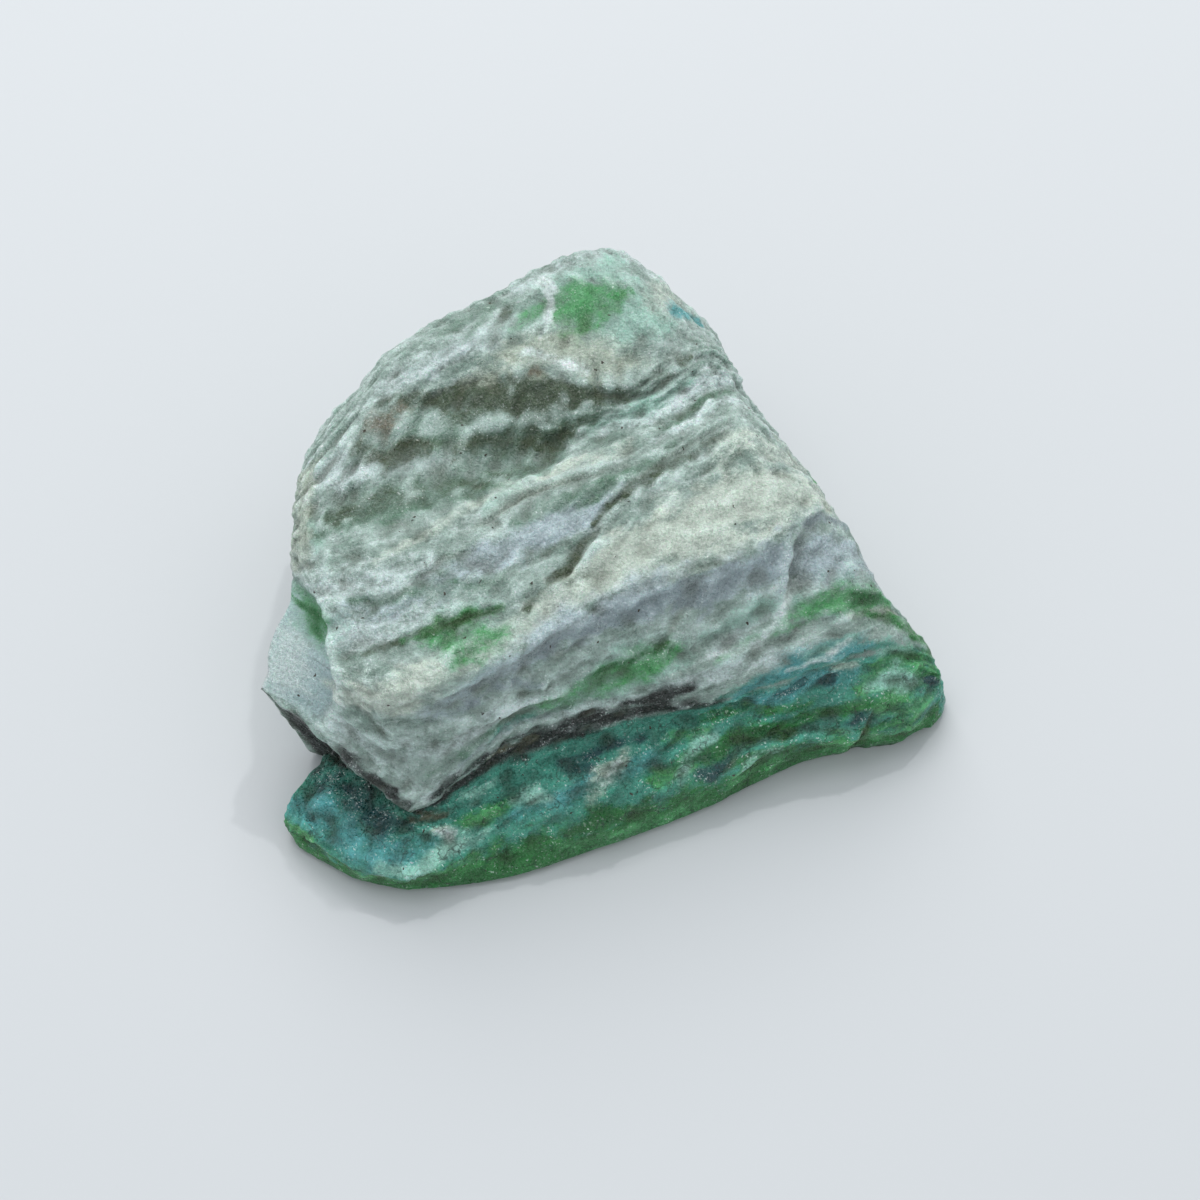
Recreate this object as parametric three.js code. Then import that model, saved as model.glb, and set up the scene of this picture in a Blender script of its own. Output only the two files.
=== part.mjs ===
// A raw jade stone: one rough, unpolished chip about 49 mm long that lies on its broken flat side.
// Millimetres, +Z up. The origin is the middle of the stone's box, on the surface it rests on.
//
// The stone is banded, and it broke along its bands. Its skin is lofted over the break lines that
// run along it from left to right, one behind the other, from the front foot over the top to the
// back foot. Below, a short bevel closes that skin to a flat sole.
import * as THREE from 'three';

// How finely the skin is cut.
const COLUMNS = 46; // steps along each break line
const ROWS_PER_SPAN = 3; // steps from one break line to the next

// The sole and the two ends.
const FOOT_HEIGHT = 0.5; // where the skin ends and the bevel to the sole begins
const LEFT_UNDERCUT = 0.35; // the left end leans in by this share of its height
const RIGHT_SPREAD = 0.2; // the right end spreads out by this share of its height
const SOLE_SCALE = 0.97; // the flat sole against the foot outline
const SOLE_CENTRE = new THREE.Vector3(-0.5, -1.5, 0); // every foot point can be seen from here

// The break lines, front to back. Each has eleven points [x, y, z] from its left end to its right
// end. roundness is 0 for a sharp break and 1 for a smooth swell.
const BREAK_LINES = {
  ledgeFoot: { roundness: 0.2, points: [
    [-23, -17.5, 1], [-22, -19, 0.5], [-18, -21.5, 0.5], [-14, -22.5, 0.5], [-7.5, -21.5, 0.5],
    [-0.5, -19, 0.5], [6.5, -16, 0.5], [14, -12, 0.5], [18, -11, 1], [21.5, -10.5, 1], [23.5, -9, 1],
  ] },
  ledgeRim: { roundness: 0.3, points: [
    [-23, -17.5, 2], [-21.5, -19, 2.5], [-18, -22, 2.5], [-13.5, -23, 3], [-7.5, -20, 3.5],
    [-0.5, -18.5, 3.5], [6.5, -15.5, 3.5], [13.5, -12.5, 4], [18, -11.5, 3.5], [22, -10.5, 3],
    [24, -8, 2.5],
  ] },
  ledgeTop: { roundness: 0.6, points: [
    [-22.5, -16, 2.5], [-21, -17.5, 3], [-17.5, -19.5, 3.5], [-13, -20, 4], [-7, -18.5, 4.5],
    [-0.5, -16, 4.5], [6.5, -14, 5], [13, -11.5, 5], [18, -10.5, 5.5], [22, -9, 4.5],
    [24, -7.5, 3.5],
  ] },
  crease: { roundness: 0.2, points: [
    [-20, -12, 2.5], [-18.5, -12.5, 3], [-16, -14, 4], [-13.5, -18.5, 4.5], [-7.5, -15.5, 5],
    [-0.5, -13.5, 6], [6.5, -11.5, 6.5], [12.5, -10, 7], [17.5, -8, 7.5], [22, -6.5, 6],
    [24, -6.5, 4.5],
  ] },
  lip: { roundness: 0.4, points: [
    [-24.5, -11, 9], [-20.5, -14, 8], [-17, -17, 6.5], [-14, -19, 5.5], [-7.5, -15, 7.5],
    [-0.5, -13, 8.5], [6.5, -11.5, 8.5], [12.5, -9.5, 9], [17, -8, 9.5], [21.5, -5.5, 8],
    [23, -5, 5.5],
  ] },
  paleBand: { roundness: 0.7, points: [
    [-24, -10, 9.5], [-19.5, -13.5, 10], [-15.5, -16, 9], [-12, -17, 8.5], [-6.5, -14, 10],
    [0, -12, 10], [6, -10.5, 10.5], [12, -8, 11], [16.5, -6.5, 11], [20, -4, 9.5], [21.5, -4, 7],
  ] },
  greyFoot: { roundness: 0.4, points: [
    [-24, -8.5, 10], [-19, -13, 11], [-15.5, -15.5, 11], [-11, -15, 11], [-5.5, -13, 11.5],
    [0, -10.5, 12], [6, -8.5, 12], [11.5, -6.5, 12.5], [16, -5, 13], [19, -3, 11], [20, -3, 8.5],
  ] },
  creamEdge: { roundness: 0.4, points: [
    [-23.5, -7, 10.5], [-19, -12.5, 12.5], [-15.5, -14.5, 14], [-10.5, -13.5, 14.5],
    [-5.5, -11, 15], [0, -8.5, 15.5], [6, -6, 16], [11, -3.5, 16], [15, -0.5, 15], [17, 0.5, 13],
    [18, 0, 10.5],
  ] },
  creamBack: { roundness: 0.7, points: [
    [-22.5, -5, 11], [-19.5, -10.5, 13], [-15.5, -11.5, 14.5], [-11.5, -10, 15], [-6.5, -8, 15.5],
    [-0.5, -5, 16.5], [6, -1.5, 16.5], [11, 1, 16.5], [14.5, 1.5, 15.5], [15.5, 2, 13.5],
    [16, 3.5, 11],
  ] },
  blueBack: { roundness: 0.7, points: [
    [-22.5, -3.5, 11], [-20, -7.5, 14], [-16, -7.5, 15.5], [-11.5, -6, 16], [-6, -4, 16.5],
    [0, -1, 17], [6, 2, 17], [10, 4.5, 17], [12.5, 5, 15], [14, 5, 13], [15.5, 5.5, 10.5],
  ] },
  crack: { roundness: 0.6, points: [
    [-22.5, -1.5, 11.5], [-21, -4.5, 14], [-16.5, -4, 16], [-11.5, -2, 16.5], [-6, 0, 17],
    [0, 2.5, 17.5], [6, 5.5, 17.5], [9.5, 8, 16.5], [11.5, 7.5, 15], [13, 7.5, 12.5],
    [14, 8, 10.5],
  ] },
  hollow: { roundness: 0.5, points: [
    [-22.5, 0, 12], [-21.5, -1.5, 14], [-18, 0, 15], [-12, 2, 16], [-6, 4, 16], [0, 6.5, 16.5],
    [5, 8, 17], [8.5, 10.5, 16], [10, 10.5, 14.5], [11, 10.5, 12.5], [12.5, 10.5, 10.5],
  ] },
  brow: { roundness: 0.6, points: [
    [-22.5, 3, 12], [-21, 3.5, 14.5], [-17, 7, 16.5], [-12, 9, 17.5], [-5.5, 10, 18.5],
    [0, 9, 18], [5, 10.5, 18], [7.5, 13, 17], [9.5, 12.5, 15], [10, 13, 12.5], [10.5, 13, 10.5],
  ] },
  plateau: { roundness: 0.7, points: [
    [-22, 5.5, 12.5], [-20, 6.5, 15], [-16.5, 10.5, 17], [-11.5, 12, 18.5], [-5.5, 14.5, 19],
    [0, 15, 19.5], [4, 14.5, 19], [7, 14.5, 17], [8.5, 14.5, 15], [9, 15, 12.5], [9.5, 15, 10.5],
  ] },
  backRim: { roundness: 0.4, points: [
    [-21.5, 7.5, 12.5], [-19.5, 9, 15], [-16, 13, 16.5], [-12, 15, 18], [-7.5, 17.5, 18.5],
    [-3, 20, 19], [1, 20.5, 19], [3.5, 19, 18], [5.5, 18, 16.5], [7.5, 17.5, 14], [8.5, 18, 11],
  ] },
  backWaist: { roundness: 0.6, points: [
    [-22, 9.5, 7.5], [-20.5, 12, 9], [-17.5, 15, 9.5], [-13, 17.5, 10], [-8, 20, 10.5],
    [-3.5, 22, 10.5], [1, 22.5, 10], [4.5, 21.5, 9.5], [6.5, 20, 8.5], [8, 19, 7.5], [9, 18.5, 6.5],
  ] },
  backFoot: { roundness: 0.2, points: [
    [-20, 10.5, 1.5], [-18.5, 13, 0.5], [-16, 15.5, 0.5], [-11.5, 18, 0.5], [-7, 20, 0.5],
    [-2.5, 21, 0.5], [2, 21.5, 0.5], [4.5, 21, 0.5], [6.5, 20, 0.5], [8, 19.5, 0.5], [9.5, 19, 1.5],
  ] },
};

// A break line cut into even steps, with the foot of the stone below each of its ends.
function breakLine({ points }) {
  const line = new THREE.CatmullRomCurve3(points.map((p) => new THREE.Vector3(...p)));
  const cut = line.getPoints(COLUMNS);
  const [left, right] = [cut[0], cut[COLUMNS]];
  const leftFoot = new THREE.Vector3(left.x + LEFT_UNDERCUT * (left.z - FOOT_HEIGHT), left.y);
  const rightFoot = new THREE.Vector3(right.x + RIGHT_SPREAD * (right.z - FOOT_HEIGHT), right.y);
  return [leftFoot.setZ(FOOT_HEIGHT), ...cut, rightFoot.setZ(FOOT_HEIGHT)];
}

// The skin as rows of points, front to back. Between two break lines it runs between the straight
// chord of a sharp break and the curve through all of the lines.
function skinRows() {
  const lines = Object.values(BREAK_LINES).map(breakLine);
  const roundness = Object.values(BREAK_LINES).map((line) => line.roundness);
  const spans = lines.length - 1;
  const curves = lines[0].map((_, c) => new THREE.CatmullRomCurve3(lines.map((line) => line[c])));
  const rows = [];
  for (let span = 0; span < spans; span++) {
    for (let step = 0; step < ROWS_PER_SPAN; step++) {
      const share = step / ROWS_PER_SPAN;
      const round = THREE.MathUtils.lerp(roundness[span], roundness[span + 1], share);
      rows.push(curves.map((curve, c) => {
        const chord = lines[span][c].clone().lerp(lines[span + 1][c], share);
        return chord.lerp(curve.getPoint((span + share) / spans), round);
      }));
    }
  }
  rows.push(lines[spans]);
  return rows;
}

// The whole stone: the skin, the bevel ring around its foot and the fan of the flat sole.
function stoneGeometry() {
  const rows = skinRows();
  const width = rows[0].length;
  const points = rows.flat();
  const faces = [];
  const quad = (a, b, c, d) => faces.push(a, b, c, a, c, d);
  for (let r = 0; r < rows.length - 1; r++) {
    for (let c = 0; c < width - 1; c++) {
      const corner = r * width + c;
      quad(corner, corner + 1, corner + width + 1, corner + width);
    }
  }

  // The foot outline, anticlockwise from the front left corner.
  const last = (rows.length - 1) * width;
  const outline = [];
  for (let c = 0; c < width - 1; c++) outline.push(c);
  for (let r = 0; r < rows.length - 1; r++) outline.push(r * width + width - 1);
  for (let c = width - 1; c > 0; c--) outline.push(last + c);
  for (let r = rows.length - 1; r > 0; r--) outline.push(r * width);

  const soleStart = points.length;
  for (const index of outline) {
    const sole = points[index].clone().setZ(0);
    points.push(sole.sub(SOLE_CENTRE).multiplyScalar(SOLE_SCALE).add(SOLE_CENTRE));
  }
  const middle = points.push(SOLE_CENTRE) - 1;
  outline.forEach((foot, i) => {
    const next = (i + 1) % outline.length;
    quad(foot, soleStart + i, soleStart + next, outline[next]);
    faces.push(soleStart + i, middle, soleStart + next);
  });

  const geometry = new THREE.BufferGeometry().setFromPoints(points).setIndex(faces);
  geometry.computeVertexNormals();
  return geometry;
}

const jade = new THREE.MeshStandardMaterial({ color: '#93a78a', roughness: 0.45, metalness: 0 });
const stone = new THREE.Mesh(stoneGeometry(), jade);
stone.name = 'raw_jade';

const group = new THREE.Group();
group.add(stone);

export default group;
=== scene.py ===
# %% [markdown]
# # A raw jade stone
# This lesson makes the look of one rough jade chip, about 49 mm long. The real stone is a piece of
# banded rock: pale sage jade with cream and lavender-grey bands, broken along them into long steps,
# and a low ledge of dark green and teal jade in front. The simple solid that was built before gives
# the size and the place. Here a fine skin is worked out with numpy and stands for that solid.

# %% The fixed frame
import math

import bpy
import numpy as np
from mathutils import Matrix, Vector


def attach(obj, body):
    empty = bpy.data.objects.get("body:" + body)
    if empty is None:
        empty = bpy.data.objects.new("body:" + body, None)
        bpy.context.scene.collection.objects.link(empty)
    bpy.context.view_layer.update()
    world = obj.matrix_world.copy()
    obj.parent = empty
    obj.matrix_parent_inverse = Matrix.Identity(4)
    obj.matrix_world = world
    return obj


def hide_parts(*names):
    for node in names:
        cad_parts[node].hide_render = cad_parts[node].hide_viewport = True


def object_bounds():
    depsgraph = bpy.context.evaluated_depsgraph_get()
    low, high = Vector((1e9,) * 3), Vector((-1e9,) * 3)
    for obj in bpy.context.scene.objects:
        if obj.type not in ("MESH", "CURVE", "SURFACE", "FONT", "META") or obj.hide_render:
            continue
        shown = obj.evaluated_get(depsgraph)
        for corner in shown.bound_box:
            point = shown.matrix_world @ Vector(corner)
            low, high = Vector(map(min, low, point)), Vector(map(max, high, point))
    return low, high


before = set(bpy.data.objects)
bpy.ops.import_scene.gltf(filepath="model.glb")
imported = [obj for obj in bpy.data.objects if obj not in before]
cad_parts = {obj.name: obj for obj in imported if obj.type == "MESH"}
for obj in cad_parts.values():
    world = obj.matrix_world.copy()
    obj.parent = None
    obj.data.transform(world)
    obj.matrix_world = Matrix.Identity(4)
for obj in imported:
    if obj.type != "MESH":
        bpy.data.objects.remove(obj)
cad_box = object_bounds()
MM = 0.001
print("the solid's box in mm:", [[round(v / MM, 2) for v in corner] for corner in cad_box])

# %% [markdown]
# ## The camera
# The stone lies on a table and is looked at from in front, steeply from above. A long lens from
# far away keeps the sides of the stone from spreading, as in a close-up of a small thing.

# %% The camera
VIEW_ELEVATION = math.radians(57)
VIEW_DISTANCE = 277 * MM
FOCAL_LENGTH = 111.4  # on a sensor 36 mm wide


def look_along(thing, target):
    """Turns a camera or a lamp so that it points from its place to the target."""
    thing.rotation_euler = (Vector(target) - thing.location).to_track_quat("-Z", "Y").to_euler()


low, high = (np.array(corner) for corner in cad_box)
aim = Vector(((low[0] + high[0]) / 2 - 0.65 * MM, (low[1] + high[1]) / 2 + 2.65 * MM, 0))
camera = bpy.data.objects.new("camera", bpy.data.cameras.new("camera"))
camera.data.lens = FOCAL_LENGTH
camera.data.clip_start = 10 * MM
back_off = Vector((0, -math.cos(VIEW_ELEVATION), math.sin(VIEW_ELEVATION)))
camera.location = aim + VIEW_DISTANCE * back_off
look_along(camera, aim)
bpy.context.collection.objects.link(camera)
bpy.context.scene.camera = camera
print("camera at", [round(v / MM, 1) for v in camera.location], "mm")

# %% [markdown]
# ## Table and light
# The table is a plain pale sheet. The light is a wide soft window high behind the stone, so that
# the steps that face the viewer fall into soft shade, and a dim pale sky fills the rest.

# %% The table
TABLE_SIZE = 4.0
TABLE_COLOUR = (0.60, 0.62, 0.64, 1)

half = TABLE_SIZE / 2
table_mesh = bpy.data.meshes.new("table")
corners = [(-half, -half, 0), (half, -half, 0), (half, half, 0), (-half, half, 0)]
table_mesh.from_pydata(corners, [], [(0, 1, 2, 3)])
table = bpy.data.objects.new("table", table_mesh)
bpy.context.collection.objects.link(table)

table_paint = bpy.data.materials.new("pale_table")
table_paint.use_nodes = True
table_shader = table_paint.node_tree.nodes["Principled BSDF"]
table_shader.inputs["Base Color"].default_value = TABLE_COLOUR
table_shader.inputs["Roughness"].default_value = 0.85
table_shader.inputs["Specular IOR Level"].default_value = 0.2
table_mesh.materials.append(table_paint)

# %% The light
def window(name, place, size, watts, colour):
    """A square area lamp that points at the stone."""
    lamp = bpy.data.lights.new(name, "AREA")
    lamp.size = size
    lamp.energy = watts
    lamp.color = colour
    holder = bpy.data.objects.new(name, lamp)
    holder.location = place
    look_along(holder, aim)
    bpy.context.collection.objects.link(holder)
    return holder


window("window_behind", (-0.06, 0.42, 0.42), 0.42, 1.9, (1.0, 0.99, 0.97))
window("window_above", (-0.20, 0.05, 0.60), 0.30, 0.5, (0.97, 0.99, 1.0))
window("small_bright_pane", (0.12, 0.30, 0.50), 0.02, 0.45, (1.0, 1.0, 1.0))

world = bpy.data.worlds.new("pale_sky")
world.use_nodes = True
sky = world.node_tree.nodes["Background"]
sky.inputs["Color"].default_value = (0.93, 0.97, 1.0, 1)
sky.inputs["Strength"].default_value = 0.72
bpy.context.scene.world = world
bpy.context.scene.view_settings.view_transform = "Standard"

# %% [markdown]
# ## The break lines
# The rock broke along its bands, so the stone is described by the lines where its faces meet. They
# run from left to right, one behind the other, from the front foot over the top to the back foot.
# They are the same lines as in the solid, in millimetres. A skin that runs through them all is
# easier to steer than a sculpted lump, and it keeps close to the solid. A few of its edges are a
# little sharper or softer, because it has far more points.

# %% The break lines
# Each has its roundness (0 is a sharp break, 1 a smooth swell), how rough the stone is there, in
# millimetres, and eleven points from its left end to its right end.
BREAK_LINES = {
    "ledge foot": (0.2, 0.25, [
        (-23, -17.5, 1), (-22, -19, 0.5), (-18, -21.5, 0.5), (-14, -22.5, 0.5), (-7.5, -21.5, 0.5),
        (-0.5, -19, 0.5), (6.5, -16, 0.5), (14, -12, 0.5), (18, -11, 1), (21.5, -10.5, 1),
        (23.5, -9, 1)]),
    "ledge rim": (0.2, 0.35, [
        (-23, -17.5, 2), (-21.5, -19, 2.5), (-18, -22, 2.5), (-13.5, -23, 3), (-7.5, -20, 3.5),
        (-0.5, -18.5, 3.5), (6.5, -15.5, 3.5), (13.5, -12.5, 4), (18, -11.5, 3.5), (22, -10.5, 3),
        (24, -8, 2.5)]),
    "ledge top": (0.5, 0.45, [
        (-22.5, -16, 2.5), (-21, -17.5, 3), (-17.5, -19.5, 3.5), (-13, -20, 4), (-7, -18.5, 4.5),
        (-0.5, -16, 4.5), (6.5, -14, 5), (13, -11.5, 5), (18, -10.5, 5.5), (22, -9, 4.5),
        (24, -7.5, 3.5)]),
    "crease": (0.2, 0.35, [
        (-20, -12, 2.5), (-18.5, -12.5, 3), (-16, -14, 4), (-13.5, -18.5, 4.5), (-7.5, -15.5, 5),
        (-0.5, -13.5, 6), (6.5, -11.5, 6.5), (12.5, -10, 7), (17.5, -8, 7.5), (22, -6.5, 6),
        (24, -6.5, 4.5)]),
    "lip": (0.15, 0.28, [
        (-24.5, -11, 9), (-20.5, -14, 8), (-17, -17, 6.5), (-14, -19, 5.5), (-7.5, -15, 7.5),
        (-0.5, -13, 8.5), (6.5, -11.5, 8.5), (12.5, -9.5, 9), (17, -8, 9.5), (21.5, -5.5, 8),
        (23, -5, 5.5)]),
    "pale band": (0.6, 0.32, [
        (-24, -10, 9.5), (-19.5, -13.5, 10), (-15.5, -16, 9), (-12, -17, 8.5), (-6.5, -14, 10),
        (0, -12, 10), (6, -10.5, 10.5), (12, -8, 11), (16.5, -6.5, 11), (20, -4, 9.5),
        (21.5, -4, 7)]),
    "grey foot": (0.4, 0.38, [
        (-24, -8.5, 10), (-19, -13, 11), (-15.5, -15.5, 11), (-11, -15, 11), (-5.5, -13, 11.5),
        (0, -10.5, 12), (6, -8.5, 12), (11.5, -6.5, 12.5), (16, -5, 13), (19, -3, 11),
        (20, -3, 8.5)]),
    "cream edge": (0.4, 0.26, [
        (-23.5, -7, 10.5), (-19, -12.5, 12.5), (-15.5, -14.5, 14), (-10.5, -13.5, 14.5),
        (-5.5, -11, 15), (0, -8.5, 15.5), (6, -6, 16), (11, -3.5, 16), (15, -0.5, 15),
        (17, 0.5, 13), (18, 0, 10.5)]),
    "cream back": (0.7, 0.22, [
        (-22.5, -5, 11), (-19.5, -10.5, 13), (-15.5, -11.5, 14.5), (-11.5, -10, 15),
        (-6.5, -8, 15.5), (-0.5, -5, 16.5), (6, -1.5, 16.5), (11, 1, 16.5), (14.5, 1.5, 15.5),
        (15.5, 2, 13.5), (16, 3.5, 11)]),
    "blue back": (0.7, 0.36, [
        (-22.5, -3.5, 11), (-20, -7.5, 14), (-16, -7.5, 15.5), (-11.5, -6, 16), (-6, -4, 16.5),
        (0, -1, 17), (6, 2, 17), (10, 4.5, 17), (12.5, 5, 15), (14, 5, 13), (15.5, 5.5, 10.5)]),
    "crack": (0.6, 0.34, [
        (-22.5, -1.5, 11.5), (-21, -4.5, 14), (-16.5, -4, 16), (-11.5, -2, 16.5), (-6, 0, 17),
        (0, 2.5, 17.5), (6, 5.5, 17.5), (9.5, 8, 16.5), (11.5, 7.5, 15), (13, 7.5, 12.5),
        (14, 8, 10.5)]),
    "hollow": (0.5, 0.38, [
        (-22.5, 0, 12), (-21.5, -1.5, 14), (-18, 0, 15), (-12, 2, 16), (-6, 4, 16), (0, 6.5, 16.5),
        (5, 8, 17), (8.5, 10.5, 16), (10, 10.5, 14.5), (11, 10.5, 12.5), (12.5, 10.5, 10.5)]),
    "brow": (0.6, 0.42, [
        (-22.5, 3, 12), (-21, 3.5, 14.5), (-17, 7, 16.5), (-12, 9, 17.5), (-5.5, 10, 18.5),
        (0, 9, 18), (5, 10.5, 18), (7.5, 13, 17), (9.5, 12.5, 15), (10, 13, 12.5),
        (10.5, 13, 10.5)]),
    "plateau": (0.7, 0.22, [
        (-22, 5.5, 12.5), (-20, 6.5, 15), (-16.5, 10.5, 17), (-11.5, 12, 18.5), (-5.5, 14.5, 19),
        (0, 15, 19.5), (4, 14.5, 19), (7, 14.5, 17), (8.5, 14.5, 15), (9, 15, 12.5),
        (9.5, 15, 10.5)]),
    "back rim": (0.4, 0.28, [
        (-21.5, 7.5, 12.5), (-19.5, 9, 15), (-16, 13, 16.5), (-12, 15, 18), (-7.5, 17.5, 18.5),
        (-3, 20, 19), (1, 20.5, 19), (3.5, 19, 18), (5.5, 18, 16.5), (7.5, 17.5, 14),
        (8.5, 18, 11)]),
    "back waist": (0.6, 0.42, [
        (-22, 9.5, 7.5), (-20.5, 12, 9), (-17.5, 15, 9.5), (-13, 17.5, 10), (-8, 20, 10.5),
        (-3.5, 22, 10.5), (1, 22.5, 10), (4.5, 21.5, 9.5), (6.5, 20, 8.5), (8, 19, 7.5),
        (9, 18.5, 6.5)]),
    "back foot": (0.2, 0.40, [
        (-20, 10.5, 1.5), (-18.5, 13, 0.5), (-16, 15.5, 0.5), (-11.5, 18, 0.5), (-7, 20, 0.5),
        (-2.5, 21, 0.5), (2, 21.5, 0.5), (4.5, 21, 0.5), (6.5, 20, 0.5), (8, 19.5, 0.5),
        (9.5, 19, 1.5)]),
}
roundness, jaggedness, knots = (np.array(part, float) for part in zip(*BREAK_LINES.values()))
line_number = {name: k for k, name in enumerate(BREAK_LINES)}
FOOT_HEIGHT = 0.5  # where the skin ends and the bevel to the sole begins
LEFT_UNDERCUT = 0.35  # the left end leans in by this share of its height
RIGHT_SPREAD = 0.2  # the right end spreads out by this share of its height
print(len(knots), "break lines of", knots.shape[1], "points")


# %% A smooth curve through knots, as whole arrays
def spline(points, spots):
    """The curve through points (along the first axis) at spots, which count in points.

    Centripetal Catmull-Rom: between two points it is the cubic whose slopes at both ends follow
    from the neighbouring points, each weighed by the square root of its distance, so that close
    points make no loops. Beyond each end the last chord is repeated.
    """
    ends = [2 * points[:1] - points[1:2], points, 2 * points[-1:] - points[-2:-1]]
    padded = np.concatenate(ends)
    first = np.minimum(spots.astype(int), len(points) - 2)
    t = (spots - first).reshape((-1,) + (1,) * (points.ndim - 1))
    before, here, there, after = (padded[first + k] for k in range(4))

    def gap(a, b):
        return np.sqrt(np.linalg.norm(b - a, axis=-1, keepdims=True))

    g0, g1, g2 = gap(before, here), gap(here, there), gap(there, after)
    out = g1 * ((here - before) / g0 - (there - before) / (g0 + g1) + (there - here) / g1)
    into = g1 * ((there - here) / g1 - (after - here) / (g1 + g2) + (after - there) / g2)
    chord = there - here
    return here + out * t + (3 * chord - 2 * out - into) * t**2 + (out + into - 2 * chord) * t**3


def even_spots(lengths, pitches):
    """Spots, counted in points, that cut each stretch between points into steps of its pitch."""
    steps = np.ceil(np.array(lengths) / pitches).astype(int)
    cuts = [stretch + np.arange(count) / count for stretch, count in enumerate(steps)]
    return np.append(np.concatenate(cuts), len(steps))


# %% The smooth skin
SKIN_PITCH = 0.205  # millimetres between neighbouring points of the skin
BACK_PITCH = 0.5  # coarser where it runs down the back
WALL_PITCH = 0.35  # and down the two ends
WALL_LENGTH = 11  # about how far it runs down each end, in millimetres
END_ROUNDNESS = (0, 0, 0.5, 0.3, 0.9, 1, 1, 1, 0.6, 0.3, 0.3)  # the left end breaks off at a ridge

along_lengths = np.linalg.norm(np.diff(knots, axis=1), axis=2).mean(axis=0)
across_lengths = np.linalg.norm(np.diff(knots, axis=0), axis=2).mean(axis=1)
before_back = np.arange(len(across_lengths)) < line_number["back rim"]
across_pitches = np.where(before_back, SKIN_PITCH, BACK_PITCH)
along_spots = even_spots(along_lengths, SKIN_PITCH)
across_spots = even_spots(across_lengths, across_pitches)


def with_walls(lines):
    """The break lines with the wall below each end added, down to its foot."""
    left, right = lines[:, :1], lines[:, -1:]
    left_foot, right_foot = left.copy(), right.copy()
    left_foot[..., 0] += LEFT_UNDERCUT * (left[..., 2] - FOOT_HEIGHT)
    right_foot[..., 0] += RIGHT_SPREAD * (right[..., 2] - FOOT_HEIGHT)
    left_foot[..., 2] = right_foot[..., 2] = FOOT_HEIGHT
    steps = math.ceil(WALL_LENGTH / WALL_PITCH)
    share = (np.arange(1, steps + 1) / steps)[None, :, None]
    down_left = left + (left_foot - left) * share
    down_right = right + (right_foot - right) * share
    return np.concatenate([down_left[:, ::-1], lines, down_right], axis=1)


def between_chord_and_curve(points, spots, rounding):
    """From the straight chord between neighbouring points, at 0, to the smooth curve, at 1."""
    first = np.minimum(spots.astype(int), len(points) - 2)
    share = (spots - first)[:, None, None]
    chord = points[first] * (1 - share) + points[first + 1] * share
    rounding_here = np.interp(spots, np.arange(len(points)), rounding)[:, None, None]
    return chord + (spline(points, spots) - chord) * rounding_here


def smooth_skin():
    """The skin as a grid: rows run across the break lines, columns along them."""
    lines = between_chord_and_curve(knots.transpose(1, 0, 2), along_spots, END_ROUNDNESS)
    lines = with_walls(lines.transpose(1, 0, 2))
    return between_chord_and_curve(lines, across_spots, roundness)


skin = smooth_skin()
rows, columns = skin.shape[:2]
print("skin of", rows, "by", columns, "points")


# %% Where each point lies along and across the bands
# band is the position across the bands in millimetres, and line counts the break lines from the
# front foot, 0, to the back foot, 16. reach runs along the bands and on down the end walls.
line = np.repeat(across_spots[:, None], columns, axis=1)
band_of_line = np.concatenate([[0], np.cumsum(across_lengths)])
band = np.interp(line, np.arange(len(knots)), band_of_line)
steps_along = np.linalg.norm(np.diff(skin, axis=1), axis=2).mean(axis=0)
reach = np.repeat(np.concatenate([[0], np.cumsum(steps_along)])[None], rows, axis=0)
wall_steps = (columns - len(along_spots)) // 2
reach_of_end = reach[0, wall_steps], reach[0, -1 - wall_steps]
print("bands", round(band.max(), 1), "mm across,", round(reach.max(), 1), "mm along")

# %% [markdown]
# ## Noise
# Broken stone has detail of every size. Gradient noise gives smooth random blobs of one size, and
# octaves of it, each half the size of the last, add up to rough rock. The random numbers are drawn
# once from a fixed seed, so that the stone is the same each time.

# %% Gradient noise, as whole arrays
draw = np.random.default_rng(23)
SHUFFLE = draw.permutation(256)
SLOPES = draw.normal(size=(256, 3))
SLOPES /= np.linalg.norm(SLOPES, axis=1, keepdims=True)


def noise(points):
    """Smooth random values from about -1 to 1, with blobs one unit wide.

    Each corner of the unit cell around a point has a random slope. The value is the mean of the
    eight slopes times the distances to their corners, eased from corner to corner.
    """
    cell = np.floor(points).astype(int)
    inside = points - cell
    ease = inside**3 * (inside * (inside * 6 - 15) + 10)
    total = 0
    for corner in np.ndindex(2, 2, 2):
        x, y, z = np.moveaxis(cell + corner, -1, 0) & 255
        slope = SLOPES[SHUFFLE[(SHUFFLE[(SHUFFLE[x] + y) & 255] + z) & 255]]
        weight = np.where(corner, ease, 1 - ease).prod(axis=-1)
        total = total + weight * (slope * (inside - corner)).sum(axis=-1)
    return 1.7 * total


def rough(points, octaves=4):
    """Octaves of noise, each half as wide and half as strong as the one before."""
    return sum(noise(points * 2**k + 19.7 * k) / 2**k for k in range(octaves))


def ease_step(value, start, end):
    """0 before start, 1 after end, and a smooth S between them."""
    t = np.clip((value - start) / (end - start), 0, 1)
    return t * t * (3 - 2 * t)


def stack(*parts):
    return np.stack(np.broadcast_arrays(*parts), axis=-1)


# %% [markdown]
# ## The broken surface
# Four things shape it. Soft lumps are drawn out along the bands, because the stone is made of thin
# layers. Flakes have broken off between layers, and each left a low step that drops towards the
# front. A few cracks and plate edges are deep enough to have a place of their own. Sugar-like
# grains cover everything. Real geometry carries all of this, down to a fifth of a millimetre, and
# only the finest grain is left to the material.

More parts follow.
